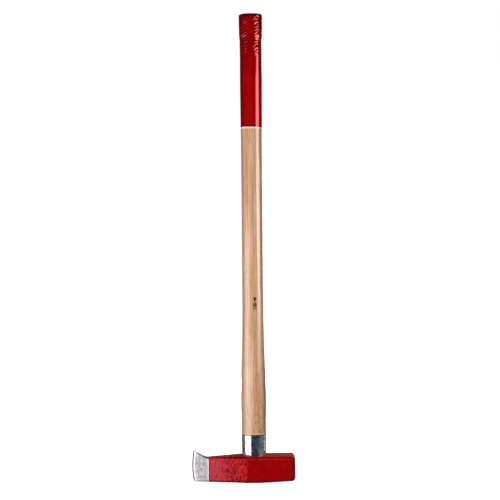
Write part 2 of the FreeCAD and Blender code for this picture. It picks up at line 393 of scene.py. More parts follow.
def head_ring(station, inset):
    """Ring round the head. The station is ("front", s), with s from 0 on the cutting edge to 1 at the waist,
    or ("x", x) behind it. The inset is how far it lies under the painted outside."""
    kind, where = station
    poll_cut = 0.0
    if kind == "x":
        x = where
        poll_cut = float(smooth_max(POLL_CHAMFER - (POLL_X - x), 0.0, 1.0))
    else:
        x = line(where, 0, EDGE_X, 1, WAIST_X)
    low, high = head_bottom(x) + poll_cut + inset, head_top(x) - poll_cut - inset
    half = head_half(x, EDGE_MIDDLE_Z)
    chamfer = min(float(head_chamfer(x)), 0.6 * float(half))
    radius = 0.35 * chamfer + 0.1
    side = rounded_half(max(float(half) - poll_cut - inset, 0.2), low, high, chamfer, radius, SECTION_PLAN)
    if kind == "front":
        side = follow_edge(side, where, inset)
        xs = side[:, 2]
    else:
        xs = np.full(len(side), x - (inset if poll_cut else 0))
    right = np.column_stack([xs, side[:, 0], side[:, 1]])
    left = right[-2:0:-1] * np.array((1, -1, 1))
    return np.concatenate([right, left])


def follow_edge(side, s, inset):
    """Bends a section forward of the waist so that the first one lies on the curved cutting edge."""
    share = (side[:, 1] - side[0, 1]) / (side[-1, 1] - side[0, 1])
    widest = side[:, 0].max()
    z = side[:, 1].copy()
    for _ in range(6):
        x = edge_x(z) * (1 - s) + WAIST_X * s
        low = head_bottom(x) + inset
        high = head_top(x) - inset
        z = low + (high - low) * share
    half = np.maximum(head_half(x, z) - inset * s, EDGE_LAND * 0.6)
    return np.column_stack([side[:, 0] / widest * half, z, x])


def shrunk_rings(ring, steps, on_edge=False):
    """Rings inside an end ring, shrinking towards its middle, to close that end."""
    middle = np.array((0, 0, (ring[:, 2].min() + ring[:, 2].max()) / 2))
    rings = []
    for i in range(1, steps):
        t = 1 - i / steps
        small = ring.copy()
        small[:, 1:] = middle[1:] + (ring[:, 1:] - middle[1:]) * t
        if on_edge:
            small[:, 0] = edge_x(small[:, 2])
        rings.append(small)
    return rings


def eye_cutter(foot_rim):
    """The oval eye, as a closed stack of rings through the head. foot_rim is the chamfer at the underside."""
    share = (TOP_Z - SLEEVE_LOW[2]) / (SLEEVE_HIGH[2] - SLEEVE_LOW[2])
    mouth = [a + share * (b - a) for a, b in zip(SLEEVE_FOOT, SLEEVE_TOP)]
    count = 144
    rings = [
        oval(-6.0, *EYE_FOOT, count, foot_rim),
        oval(0.0, *EYE_FOOT, count, foot_rim),
        oval(EYE_RIM, *EYE_FOOT, count),
        oval(EYE_WAIST_Z, *EYE_WAIST, count),
        oval(SLEEVE_LOW[2], *EYE_LEDGE, count),
        oval(SLEEVE_LOW[2] + 0.01, *SLEEVE_FOOT, count, FIT_GAP),
        oval(TOP_Z - EYE_RIM, *mouth, count, FIT_GAP + MOUTH_GROW * 0.4),
        oval(TOP_Z + 0.6, *mouth, count, MOUTH_GROW),
        oval(TOP_Z + 8.0, *mouth, count, MOUTH_GROW),
    ]
    return loft("eye_cutter", rings)


def forged_height(points):
    """Relief of the painted surface: dents and scale of the forging on the wedge, a smoother block."""
    x = points[:, 0]
    wedge = 1 - smoothstep(CHEEK_X - 3, CHEEK_X + 8, x)
    slow = 0.16 * wobble(points, (26, 26, 26), 1)
    curl = wobble(points, (9, 9, 9), 2)[:, None] * np.array((4.0, 0.0, 2.0))
    dents = (0.34 + 0.12 * smoothstep(-68, -50, x)) * wobble(points + curl, (3.6, 6.0, 7.5), 3)
    crust = 0.12 * wobble(points, (1.8, 1.8, 2.6), 4)
    scuff = np.exp(-((x - 66) / 9) ** 2 - ((points[:, 2] - 12) / 7) ** 2)
    scuff = 0.22 * scuff * (0.5 + wobble(points, (3.0, 3.0, 2.0), 5))
    return slow + dents * (0.10 + 0.90 * wedge) + crust * (0.15 + 0.85 * wedge) - scuff


def ground_height(points):
    """Relief of the bare bit: shallow facets left by the grinding belt."""
    return 0.05 * wobble(points, (14, 14, 5), 6) + 0.018 * wobble(points, (1.6, 1.6, 7.0), 7)


def stations_x(first, last, step):
    """Evenly spaced stations behind the waist, about a step apart."""
    return [("x", x) for x in np.linspace(first, last, max(2, round((last - first) / step) + 1))]


def make_forging(material):
    """The steel head: its bare bit shows, and the rest lies just under the paint."""
    front = [("front", s) for s in np.concatenate([np.linspace(0, 0.14, 8), np.linspace(0.16, 1, 34)])]
    rings = [head_ring(s, COAT) for s in front]
    hidden = [head_ring(s, HIDDEN_INSET) for s in stations_x(WAIST_X + 0.8, POLL_X - HIDDEN_INSET, 5)]
    closing = shrunk_rings(rings[0], 3, on_edge=True)[::-1]
    piece = loft("head_forging", closing + rings + hidden + shrunk_rings(hidden[-1], 6))
    push(piece, lambda p: np.where(p[:, 0] < WAIST_X, ground_height(p), 0))
    cut(piece, eye_cutter(EYE_RIM))
    finish_piece(piece, material, ["maul_head"])


def make_head_paint(material):
    """The coat, which carries the forging's dents, and has a ragged, slightly thicker front edge."""
    stations = stations_x(WAIST_X, POLL_X - 6, 1.0) + stations_x(POLL_X - 5.6, POLL_X, 0.4)
    outer = [head_ring(s, 0.0) for s in stations]
    inner = [head_ring(s, HIDDEN_INSET - 0.1) for s in stations_x(WAIST_X, POLL_X - HIDDEN_INSET + 0.1, 5)]
    ragged = 0.5 * wobble(outer[0], (9, 9, 9), 8)
    for ring in (outer[0], inner[0]):
        ring[:, 0] += ragged
    hidden = shrunk_rings(inner[-1], 6)[::-1] + inner[::-1]
    piece = loft("head_red_paint", hidden + outer + shrunk_rings(outer[-1], 16))
    shown = shown_part(piece, len(hidden) * len(outer[0]))

    def height(p):
        lip = 0.22 * np.exp(-((p[:, 0] - WAIST_X - 0.8) / 0.9) ** 2)
        return shown * (forged_height(p) + lip)

    push(piece, height)
    keep_above(piece, 0.0)
    cut(piece, eye_cutter(EYE_RIM + 0.3))
    finish_piece(piece, material, ["head_paint"])


# ---------------------------------------------------------------- sleeve, handle and lacquer
def sleeve_ring(z, inset, count=160):
    """Ring that far inside the sleeve's outside."""
    share = (z - SLEEVE_LOW[2]) / (SLEEVE_HIGH[2] - SLEEVE_LOW[2])
    size = [a + share * (b - a) for a, b in zip(SLEEVE_FOOT, SLEEVE_TOP)]
    return oval(z, *size, count, -inset)


def make_sleeve(material):
    """Thin tube with a rounded upper rim, a seam at the back and faint dents."""
    low, high = SLEEVE_LOW[2], SLEEVE_HIGH[2]
    heights = list(np.linspace(low, high - 0.6, 60))
    outer = [sleeve_ring(z, 0) for z in heights]
    rim = [sleeve_ring(high - 0.1, 0.02), sleeve_ring(high, 0.14), sleeve_ring(high, SLEEVE_WALL - 0.3)]
    inner = [sleeve_ring(z, SLEEVE_WALL) for z in (high - 0.3, (low + high) / 2, low)]
    piece = loft("guard_sleeve", outer + rim + inner, loop=True)

    def height(p):
        outside = (p[:, 2] > TOP_Z + 0.5).astype(float)
        seam = np.exp(-(p[:, 0] / 0.45) ** 2) * (p[:, 1] > 0)
        dents = 0.022 * wobble(p, (9, 9, 18), 9) + 0.004 * wobble(p, (3.5, 3.5, 6), 10)
        away = np.hypot(p[:, 0] / SLEEVE_TOP[0], p[:, 1] / SLEEVE_TOP[1]) > 0.465
        return outside * away * (dents - 0.25 * seam)

    push(piece, height)
    finish_piece(piece, material, ["handle_sleeve"])


def handle_size(z):
    """Length and width of the bare handle at a height, on a smooth curve through its sections."""
    stations = np.array(HANDLE_SECTIONS)
    return [float(hermite(z, stations[:, 0], stations[:, i])) for i in (1, 2)]


def hermite(z, zs, values):
    """Curve through values that doesn't swing past them (monotone cubic)."""
    steps = np.diff(values) / np.diff(zs)
    products, sums = steps[:-1] * steps[1:], steps[:-1] + steps[1:]
    inner = np.where(products > 0, 2 * products / (sums + 1e-12), 0)
    tangents = np.concatenate([[steps[0]], inner, [steps[-1]]])
    i = int(np.clip(np.searchsorted(zs, z) - 1, 0, len(steps) - 1))
    h = zs[i + 1] - zs[i]
    t = np.clip((z - zs[i]) / h, 0, 1)
    return ((1 + 2 * t) * (1 - t) ** 2 * values[i] + t * (1 - t) ** 2 * h * tangents[i]
            + t * t * (3 - 2 * t) * values[i + 1] - t * t * (1 - t) * h * tangents[i + 1])


def end_rings(z_top, size, grow, count, steps=7):
    """Rounded rim and flat end of the handle, as rings that shrink to the middle."""
    rings = []
    for i in range(1, steps + 1):
        a = math.pi / 2 * i / steps
        inset = END_RADIUS * (1 - math.cos(a))
        rings.append(oval(z_top - END_RADIUS + END_RADIUS * math.sin(a), *size, count, grow - inset))
    for share in (0.86, 0.7, 0.52, 0.34, 0.16):
        flat = rings[steps - 1].copy()
        flat[:, :2] *= share
        rings.append(flat)
    return rings


def hand_shaped(points):
    """Slow unevenness of a sanded handle, from about -1 to 1."""
    return wobble(points, (30, 30, 110), 11)


def make_handle(material):
    """The ash handle, from its tenon's foot to the grip's end, with the wedges' slots cut into the tenon."""
    count = 96
    foot = [oval(z, *size, count, -FIT_GAP) for z, size in
            ((WOOD_LOW[2], EYE_FOOT), (EYE_WAIST_Z, EYE_WAIST), (SLEEVE_LOW[2], EYE_LEDGE))]
    neck = [sleeve_ring(z, SLEEVE_WALL + FIT_GAP, count) for z in (SLEEVE_LOW[2] + 0.1, SLEEVE_HIGH[2])]
    heights = list(np.linspace(SLEEVE_HIGH[2] + 0.01, WOOD_HIGH[2] - END_RADIUS, 470))
    shaft = [oval(z, *handle_size(z), count) for z in heights]
    end = end_rings(WOOD_HIGH[2], handle_size(WOOD_HIGH[2]), 0, count)
    base = [foot[0] * np.array((s, s, 1)) for s in (0.2, 0.45, 0.7, 0.88)]
    piece = loft("ash_handle", base + foot + neck + shaft + end)

    def height(p):
        bare = (p[:, 2] > SLEEVE_HIGH[2] + 3) & (p[:, 2] < LACQUER_LOW[2])
        return np.where(bare, 0.14 * hand_shaped(p) + 0.03 * wobble(p, (1.6, 1.6, 60), 12), 0)

    push(piece, height)
    cut(piece, *wedge_cutters())
    finish_piece(piece, material, ["handle"])
    return piece


def wedge_cutters():
    """Slots that the wedges fill in the tenon: the timber one's along X, and the steel ones' along Y."""
    cutters = []
    for node, (foot, point) in WEDGE_THICKNESS.items():
        low, high = box_mm(node)
        middle = (low[0] + high[0]) / 2
        below = foot + (foot - point) / (high[2] - low[2]) * CUT_PAST
        rings = []
        for z, thickness in ((low[2] - CUT_PAST, below), (high[2], point)):
            x = (middle - thickness / 2, middle + thickness / 2)
            y = (low[1], high[1])
            if node == "timber_wedge":
                x = (-TIMBER_REACH, TIMBER_REACH)
                y = (-thickness / 2, thickness / 2)
            rings.append(np.array([(x[0], y[0], z), (x[1], y[0], z), (x[1], y[1], z), (x[0], y[1], z)]))
        cutters.append(loft("wedge_cutter", rings))
    return cutters


def lacquer_line(points):
    """Height of the lacquer's lower edge: nearly level, a little lower towards +X."""
    return LACQUER_LOW[2] + LACQUER_RISE - LACQUER_SLANT * points[:, 0]


def make_lacquer(material):
    """The dipped coat on the grip, with a bead along its lower edge and wrinkles where it ran at the end."""
    count = 128
    span = WOOD_HIGH[2] - END_RADIUS - LACQUER_LOW[2]
    shares = np.concatenate([np.linspace(0, 0.62, 150, endpoint=False), np.linspace(0.62, 1, 300)])
    heights = [LACQUER_LOW[2] + span * t for t in shares]
    outer = [oval(z, *handle_size(z), count, LACQUER) for z in heights]
    top = end_rings(LACQUER_HIGH[2], handle_size(WOOD_HIGH[2]), LACQUER, count)
    inner = [oval(z, *handle_size(z), count, 0.02) for z in heights[::18]]
    inner_top = end_rings(WOOD_HIGH[2] + 0.02, handle_size(WOOD_HIGH[2]), 0.02, count)
    edge = lacquer_line(outer[0]) + 0.35 * wobble(outer[0], (14, 14, 14), 13)
    for rings, reach in ((outer, 8), (inner, 1)):
        for i in range(reach):
            share = 1 - i / reach
            rings[i][:, 2] += (edge - LACQUER_LOW[2]) * share
    hidden = inner_top[::-1] + inner[::-1]
    piece = loft("grip_red_lacquer", hidden + outer + top)
    shown = shown_part(piece, len(hidden) * count)

    def height(p):
        below_rim = smoothstep(WOOD_HIGH[2] + 0.2, WOOD_HIGH[2] - 4, p[:, 2])
        upper = smoothstep(*WRINKLES_FROM, p[:, 2]) * below_rim
        slanted = (p[:, 2] - 0.6 * p[:, 0]) / WRINKLE_PITCH + 0.6 * wobble(p, (9, 9, 12), 14)
        phase = slanted - np.floor(slanted)
        crease = smoothstep(0, 0.3, phase) - smoothstep(0.3, 1.0, phase)
        runs = 0.29 * crease * (0.8 + 1.1 * wobble(p, (8, 8, 10), 15)) + 0.08 * wobble(p, (3.0, 3.0, 3.6), 17)
        peel = 0.012 * wobble(p, (2.2, 2.2, 2.2), 16)
        bead = 0.16 * np.exp(-((p[:, 2] - lacquer_line(p) - 0.6) / 0.9) ** 2)
        return shown * (runs * (0.04 + 0.96 * upper) + peel + bead + 0.05 * hand_shaped(p))

    push(piece, height)
    finish_piece(piece, material, ["grip_lacquer"])


# ---------------------------------------------------------------- materials
class Nodes:
    """Short ways to add and join shader nodes in one material."""

    def __init__(self, name):
        self.material = bpy.data.materials.new(name)
        self.material.use_nodes = True
        self.tree = self.material.node_tree
        self.shader = self.tree.nodes["Principled BSDF"]
        coordinates = self.tree.nodes.new("ShaderNodeTexCoord")
        self.place = self.scaled(coordinates.outputs["Object"], (1 / MM,) * 3)

    def link(self, value, socket):
        """Joins a socket to the value, or sets a plain one on it."""
        if isinstance(value, bpy.types.NodeSocket):
            self.tree.links.new(value, socket)
        else:
            socket.default_value = value

    def scaled(self, vector, scale, offset=(0, 0, 0)):
        node = self.tree.nodes.new("ShaderNodeMapping")
        self.link(vector, node.inputs["Vector"])
        node.inputs["Scale"].default_value = scale
        node.inputs["Location"].default_value = offset
        return node.outputs["Vector"]

    def math(self, operation, *values):
        node = self.tree.nodes.new("ShaderNodeMath")
        node.operation = operation
        for socket, value in zip(node.inputs, values):
            self.link(value, socket)
        return node.outputs[0]

    def times(self, a, b):
        return self.math("MULTIPLY", a, b)

    def axis(self, index):
        """X, Y or Z on the object, in mm."""
        node = self.tree.nodes.new("ShaderNodeSeparateXYZ")
        self.link(self.place, node.inputs[0])
        return node.outputs[index]

    def noise(self, size, detail=3.0, roughness=0.55, offset=(0, 0, 0), distortion=0.0):
        """Noise from 0 to 1 with lumps about size mm wide, by axis."""
        node = self.tree.nodes.new("ShaderNodeTexNoise")
        self.link(self.scaled(self.place, tuple(1 / s for s in size), offset), node.inputs["Vector"])
        node.inputs["Scale"].default_value = 1.0
        node.inputs["Detail"].default_value = detail
        node.inputs["Roughness"].default_value = roughness
        node.inputs["Distortion"].default_value = distortion
        return node.outputs["Fac"]

    def ramp(self, value, low, high, low_value=0.0, high_value=1.0):
        """Smooth step from low_value at low to high_value at high. low may be the larger."""
        node = self.tree.nodes.new("ShaderNodeMapRange")
        node.interpolation_type = "SMOOTHSTEP"
        for socket, number in zip(node.inputs, (value, low, high, low_value, high_value)):
            self.link(number, socket)
        return node.outputs[0]

    def mix(self, share, a, b):
        """Colour a, turning into b as share goes to 1."""
        node = self.tree.nodes.new("ShaderNodeMix")
        node.data_type = "RGBA"
        node.clamp_factor = True
        self.link(share, node.inputs["Factor"])
        self.link(a, node.inputs[6])
        self.link(b, node.inputs[7])
        return node.outputs[2]

    def bump(self, height, distance_mm, strength=1.0):
        node = self.tree.nodes.new("ShaderNodeBump")
        node.inputs["Strength"].default_value = strength
        node.inputs["Distance"].default_value = distance_mm * MM
        self.link(height, node.inputs["Height"])
        self.link(node.outputs["Normal"], self.shader.inputs["Normal"])

    def set(self, **values):
        """Sets or joins the shader's sockets, and gives the material."""
        for name, value in values.items():
            self.link(value, self.shader.inputs[name.replace("_", " ")])
        return self.material


def srgb(r, g, b):
    """Linear colour, with alpha, from 0 to 255 display values."""
    channels = [c / 255 for c in (r, g, b)]
    return tuple(c / 12.92 if c <= 0.04045 else ((c + 0.055) / 1.055) ** 2.4 for c in channels) + (1.0,)


def red_paint():
    """Gloss paint on a forging, with painted shade on its edges and round the sleeve, and a painted highlight
    line.
    """
    n = Nodes("red_head_paint")
    tone = n.noise((16, 16, 16), 4)
    fine = n.noise((2.4, 2.4, 1.8), 4, offset=(3, 1, 2))
    color = n.mix(n.ramp(tone, 0.35, 0.65), srgb(151, 0, 0), srgb(169, 0, 0))
    color = n.mix(n.ramp(fine, 0.52, 0.75, 0, 0.30), color, srgb(118, 0, 1))
    # Less glossy squiggles on the wedge, darkened as painted shade of the forging's dents.
    crooked = n.ramp(n.noise((4.4, 4.4, 7.0), 3, offset=(1, 6, 2), distortion=1.6), 0.50, 0.60)
    on_wedge = n.ramp(n.axis(0), CHEEK_X + 6, CHEEK_X - 12)
    strength = n.times(on_wedge, n.ramp(n.axis(0), -68, -45, 0.5, 1.0))
    dull_and_shaded = n.times(crooked, strength)
    color = n.mix(dull_and_shaded, color, srgb(96, 0, 2))
    # Painted shade: a dark band along the paint's front edge, next to the bare bit.
    lip = n.ramp(n.axis(0), WAIST_X + 3.8, WAIST_X + 1.0)
    color = n.mix(n.times(lip, 0.80), color, srgb(80, 2, 4))
    relief = RELIEF_HEIGHT / (POLL_X - RELIEF_X)
    rise = n.math("MAXIMUM", n.math("MULTIPLY_ADD", n.axis(0), relief, -relief * RELIEF_X), 0.0)
    # Painted shade along the head's lower edge, which faces down.
    lower_edge_shade = n.ramp(n.math("SUBTRACT", n.axis(2), rise), 5.2, 2.4)
    color = n.mix(n.times(lower_edge_shade, 0.85), color, srgb(76, 0, 0))
    # Painted shade on the poll end of the block.
    poll_end_shade = n.ramp(n.axis(0), POLL_X - 9, POLL_X - 3)
    color = n.mix(n.times(poll_end_shade, 0.7), color, srgb(78, 2, 4))
    waist_edge, block_edge = WAIST_Z - 2.0, TOP_Z - 4.3
    slope = (block_edge - waist_edge) / (SHOULDER_X - WAIST_X)
    edge = n.math("MULTIPLY_ADD", n.axis(0), slope, waist_edge - slope * WAIST_X)
    off_edge = n.math("ABSOLUTE", n.math("SUBTRACT", n.axis(2), n.math("MINIMUM", edge, TOP_Z - 4.5)))
    # Painted highlight: a pale, broken pink line along the edge of the upper chamfer.
    wear_and_painted_light = n.times(n.ramp(off_edge, 1.1, 0.3), n.ramp(n.axis(0), POLL_X - 4, POLL_X - 7))
    wear_and_painted_light = n.times(wear_and_painted_light, n.ramp(n.noise((7, 7, 7), 3, offset=(4, 4, 9)), 0.38, 0.60, 0.05, 0.35))
    color = n.mix(wear_and_painted_light, color, srgb(214, 70, 74))
    along = n.math("DIVIDE", n.axis(0), SLEEVE_FOOT[0] / 2)
    across = n.math("DIVIDE", n.axis(1), SLEEVE_FOOT[1] / 2)
    from_axis = n.math("ADD", n.times(along, along), n.times(across, across))
    # Painted shade: a darker ring on the top face round the sleeve's foot, where sleeve and head meet;
    # rougher there too.
    sleeve_foot_shade = n.times(n.ramp(from_axis, 1.35, 1.16), n.ramp(n.axis(2), TOP_Z - 8, TOP_Z - 4))
    color = n.mix(n.times(sleeve_foot_shade, 0.85), color, srgb(44, 6, 6))
    n.bump(n.noise((1.3, 1.3, 1.0), 5, offset=(7, 7, 7)), 0.05)
    matt_top = n.math("MAXIMUM", sleeve_foot_shade, n.ramp(n.axis(2), TOP_Z - 1.6, TOP_Z - 0.6))
    rough = n.math("ADD", n.ramp(fine, 0.3, 0.7, 0.15, 0.28), n.times(matt_top, 0.3))
    gloss = n.math("SUBTRACT", 0.70, n.times(dull_and_shaded, 0.45))
    tint = n.mix(n.ramp(n.axis(0), -40, -72), (1.0, 0.10, 0.12, 1.0), (1.0, 0.20, 0.28, 1.0))
    return n.set(Base_Color=color, Roughness=rough, IOR=1.75, Specular_IOR_Level=gloss, Specular_Tint=tint)


def red_lacquer():
    """Thick glossy lacquer with small specks of dust in it."""
    n = Nodes("red_grip_lacquer")
    cloud = n.noise((12, 12, 40), 3)
    specks = n.ramp(n.noise((1.4, 1.4, 1.4), 3, offset=(5, 9, 1)), 0.66, 0.74)
    color = n.mix(n.ramp(cloud, 0.35, 0.65), srgb(134, 0, 1), srgb(160, 1, 2))
    color = n.mix(n.ramp(n.axis(2), 850, 760, 0, 0.6), color, srgb(184, 1, 2))
    color = n.mix(n.times(specks, 0.35), color, srgb(190, 30, 30))
    # Painted shade: the grip's two narrow sides darker.
    painted_limb_shade = n.math("MAXIMUM", n.ramp(n.axis(0), -10, -21, 0, 0.45), n.ramp(n.axis(0), 17, 21, 0, 0.45))
    color = n.mix(painted_limb_shade, color, srgb(64, 0, 0))
    # Painted shade: darker near the grip's rounded end and along the lacquer's lower edge.
    rim = n.ramp(n.axis(2), LACQUER_HIGH[2] - 7.5, LACQUER_HIGH[2] - 4.0)
    foot = n.ramp(n.axis(2), LACQUER_LOW[2] + 4.0, LACQUER_LOW[2] + 2.0)
    color = n.mix(n.times(n.math("MAXIMUM", rim, foot), 0.8), color, srgb(62, 0, 0))
    n.bump(n.noise((2.2, 2.2, 2.6), 3, offset=(2, 4, 6)), 0.03)
    return n.set(Base_Color=color, Roughness=n.ramp(cloud, 0.3, 0.7, 0.05, 0.09), IOR=1.90,
                 Specular_IOR_Level=0.94, Specular_Tint=(1.0, 0.24, 0.25, 1.0))


PITH = (-34.0, 22.0)        # along X and Y, at z = 0
PITH_DRIFT = (-0.018, 0.012)
RING_WIDTH = 3.6


def ash_wood():
    """Ash: growth rings round a far-off pith, long fibres, open pores, and figure near the sleeve."""
    n = Nodes("ash_wood")
    z = n.axis(2)
    sway = n.noise((60, 60, 240), 2, offset=(1, 2, 3))
    ripple = n.noise((10, 10, 70), 3, offset=(4, 2, 8))
    across_x = n.math("ADD", n.math("ADD", n.axis(0), -PITH[0]), n.times(z, -PITH_DRIFT[0]))
    across_y = n.math("SUBTRACT", n.axis(1), n.math("ADD", n.times(z, PITH_DRIFT[1]), PITH[1]))
    squares = n.math("ADD", n.times(across_x, across_x), n.times(across_y, across_y))
    radius = n.math("POWER", squares, 0.5)
    radius = n.math("ADD", radius, n.math("ADD", n.times(sway, 14.0), n.times(ripple, 3.0)))
    ring = n.math("FRACT", n.math("DIVIDE", radius, RING_WIDTH))
    early = n.times(n.ramp(ring, 0.0, 0.10), n.ramp(ring, 0.55, 0.20))
    fibres = n.noise((0.9, 0.9, 60), 4, offset=(9, 4, 1))
    broad = n.noise((7, 7, 190), 3, offset=(6, 3, 9))
    pores = n.ramp(n.noise((0.32, 0.32, 5.5), 2, offset=(2, 8, 5)), 0.60, 0.70)
    color = n.mix(n.ramp(broad, 0.38, 0.60), srgb(232, 188, 156), srgb(206, 152, 108))
    cloud = n.noise((9, 9, 34), 3, offset=(7, 7, 3))
    color = n.mix(n.ramp(cloud, 0.50, 0.66, 0, 0.6), color, srgb(206, 168, 116))
    color = n.mix(n.ramp(cloud, 0.48, 0.36, 0, 0.5), color, srgb(232, 176, 148))
    color = n.mix(n.times(early, 0.55), color, srgb(194, 136, 86))
    color = n.mix(n.ramp(fibres, 0.45, 0.80, 0, 0.40), color, srgb(176, 120, 76))
    color = n.mix(n.times(n.times(pores, early), 0.6), color, srgb(120, 76, 44))
    figure = n.ramp(n.noise((4, 4, 8), 5, 0.65, offset=(3, 3, 7), distortion=0.5), 0.46, 0.66)
    low_down = n.times(n.ramp(z, 200, 110), n.ramp(n.axis(0), -6, 6))
    color = n.mix(n.times(n.times(figure, low_down), 0.80), color, srgb(176, 104, 40))
    # Painted shade: browner towards the +X side, and darker along that edge low down.
    poll_side = n.math("ADD", n.axis(0), n.times(ripple, 6.0))
    color = n.mix(n.ramp(poll_side, 16, 22, 0, 0.55), color, srgb(188, 120, 62))
    right_edge_shade = n.times(n.ramp(poll_side, 20, 24), n.ramp(z, 430, 340))
    color = n.mix(n.times(right_edge_shade, 0.75), color, srgb(126, 72, 30))
    # Painted reflection: a cool grey tint on the -X side of the upper handle.
    bit_side = n.times(n.ramp(poll_side, -11, -19, 0, 0.40), n.ramp(z, 380, 500, 0.2, 1.0))
    color = n.mix(bit_side, color, srgb(150, 140, 135))
    # Paler band just above the sleeve: the cut end of the wood, with a painted highlight along that edge.
    cut_end_and_highlight = n.ramp(z, SLEEVE_HIGH[2] + 3.2, SLEEVE_HIGH[2] + 1.8)
    color = n.mix(n.times(cut_end_and_highlight, 0.6), color, srgb(246, 196, 150))
    flecks = n.ramp(n.noise((3.2, 3.2, 11), 4, offset=(8, 1, 6), distortion=0.8), 0.54, 0.68)
    patchy = n.ramp(n.noise((22, 22, 60), 2, offset=(5, 5, 2)), 0.46, 0.62)
    color = n.mix(n.times(n.times(flecks, patchy), 0.6), color, srgb(166, 110, 66))
    # Painted highlight: a pale band just under the lacquer's lower edge.
    bright_band_foot = n.ramp(z, LACQUER_LOW[2] - 3.0, LACQUER_LOW[2] - 1.8)
    painted_bright_band = n.times(bright_band_foot, n.ramp(z, LACQUER_LOW[2] + 2.0, LACQUER_LOW[2] + 1.0))
    color = n.mix(n.times(painted_bright_band, 0.95), color, srgb(255, 238, 222))
    end_grain = n.ramp(z, 3.0, 1.5)
    color = n.mix(n.times(end_grain, 0.5), color, srgb(140, 96, 60))
    relief = n.math("SUBTRACT", fibres, n.times(pores, early))
    n.bump(relief, 0.05, 0.6)
    return n.set(Base_Color=color, Roughness=n.ramp(fibres, 0.3, 0.7, 0.30, 0.44), Coat_Weight=1.0,
                 Coat_Roughness=0.16, Coat_IOR=1.62)


def ground_steel():
    """Bare steel left by a grinding belt: scratches across the bit, and a brighter honed bevel."""
    n = Nodes("ground_steel")
    scratches = n.noise((4.0, 4.0, 0.7), 5, 0.7, offset=(1, 5, 2))
    cross = n.noise((1.1, 1.1, 3.0), 4, 0.6, offset=(8, 2, 4))
    patches = n.noise((3.6, 3.6, 2.6), 4, offset=(2, 2, 6))
    z = n.math("SUBTRACT", n.axis(2), EDGE_MIDDLE_Z)
    sagitta = n.math("DIVIDE", n.times(z, z), 2 * EDGE_ARC)
    behind_edge = n.math("SUBTRACT", n.math("SUBTRACT", n.axis(0), EDGE_X), sagitta)
    honed = n.ramp(n.math("SUBTRACT", behind_edge, n.times(sagitta, 0.6)), 5.8, 4.8)
    # Nearly black within about 2 mm of the cutting edge.
    edge_dark_band = n.ramp(behind_edge, 3.0, 2.0)
    # Painted highlight: a bright line on the bare steel along the paint's front edge.
    painted_bright_line = n.ramp(n.axis(0), WAIST_X - 2.4, WAIST_X - 1.2)
    bright = n.math("MAXIMUM", honed, painted_bright_line)
    tone = n.mix(n.ramp(patches, 0.40, 0.60), srgb(160, 156, 159), srgb(202, 198, 201))
    tone = n.mix(n.ramp(scratches, 0.46, 0.62, 0, 0.8), tone, srgb(100, 98, 100))
    tone = n.mix(n.ramp(cross, 0.52, 0.66, 0, 0.5), tone, srgb(220, 217, 220))
    tone = n.mix(n.times(bright, 0.9), tone, srgb(206, 204, 202))
    tone = n.mix(n.times(edge_dark_band, 0.95), tone, srgb(20, 19, 20))
    n.bump(n.math("ADD", scratches, n.times(cross, 0.5)), 0.03, 0.8)
    rough = n.math("SUBTRACT", n.ramp(scratches, 0.3, 0.7, 0.34, 0.52), n.times(bright, 0.1))
    return n.set(Base_Color=tone, Metallic=1.0, Roughness=rough)


def bright_sleeve():
    """Plated sheet steel, nearly a mirror, with handling marks, a painted dark brown shadow line round its
    top, and duller sides low down painted with a grey reflection.
    """
    n = Nodes("bright_sleeve")
    clouds = n.noise((6, 6, 9), 4, offset=(3, 1, 4))
    marks = n.noise((0.5, 0.5, 7.0), 4, 0.7, offset=(1, 5, 9))
    tone = n.mix(n.ramp(clouds, 0.40, 0.62), srgb(236, 240, 246), srgb(160, 168, 180))
    tone = n.mix(n.ramp(marks, 0.56, 0.76, 0, 0.4), tone, srgb(142, 148, 156))
    # Painted shadow: a dark brown line round the sleeve's top, where the wood meets it.
    lip = n.ramp(n.axis(2), SLEEVE_HIGH[2] - 2.2, SLEEVE_HIGH[2] - 1.5)
    tone = n.mix(n.times(lip, 0.95), tone, srgb(72, 36, 14))
    # Painted reflection: the sides low down turn a dull grey, less metallic, in place of what they reflect.
    sides = n.math("MAXIMUM", n.ramp(n.axis(0), 13, 18), n.ramp(n.axis(0), -13, -18))
    dull_and_shaded = n.times(sides, n.ramp(n.axis(2), TOP_Z + 8, TOP_Z + 3))
    tone = n.mix(n.times(dull_and_shaded, 0.9), tone, srgb(104, 92, 90))
    n.bump(n.math("ADD", clouds, n.times(marks, 0.2)), 0.02, 0.7)
    # Rougher and less metallic under the painted shadow line and the painted grey sides.
    wear_and_painted_light = n.math("MAXIMUM", lip, dull_and_shaded)
    rough = n.math("ADD", n.ramp(clouds, 0.3, 0.75, 0.06, 0.16), n.times(wear_and_painted_light, 0.3))
    metal = n.math("SUBTRACT", 1.0, n.times(wear_and_painted_light, 0.7))
    return n.set(Base_Color=tone, Metallic=metal, Roughness=rough)


def wedge_wood():
    """Rough-sawn timber wedge, seen on its end."""
    n = Nodes("wedge_wood")
    grain = n.noise((3.5, 0.5, 3.5), 4, offset=(1, 1, 1))
    color = n.mix(n.ramp(grain, 0.35, 0.65), srgb(172, 128, 84), srgb(126, 84, 50))
    n.bump(grain, 0.15, 0.8)
    return n.set(Base_Color=color, Roughness=n.ramp(grain, 0.3, 0.7, 0.62, 0.80))


def wedge_steel():
    """Rolled steel, dulled, with hammer marks where it was driven."""
    n = Nodes("wedge_steel")
    marks = n.noise((2.5, 2.5, 2.5), 4, offset=(4, 2, 2))
    tone = n.mix(n.ramp(marks, 0.4, 0.65), srgb(138, 138, 140), srgb(92, 90, 90))
    n.bump(marks, 0.12, 0.8)
    return n.set(Base_Color=tone, Metallic=1.0, Roughness=n.ramp(marks, 0.3, 0.7, 0.38, 0.60))


# ---------------------------------------------------------------- printed mark
MARK_MIDDLE = (3.6, 343.0)  # along X and Z
MARK_RAISE = 0.05


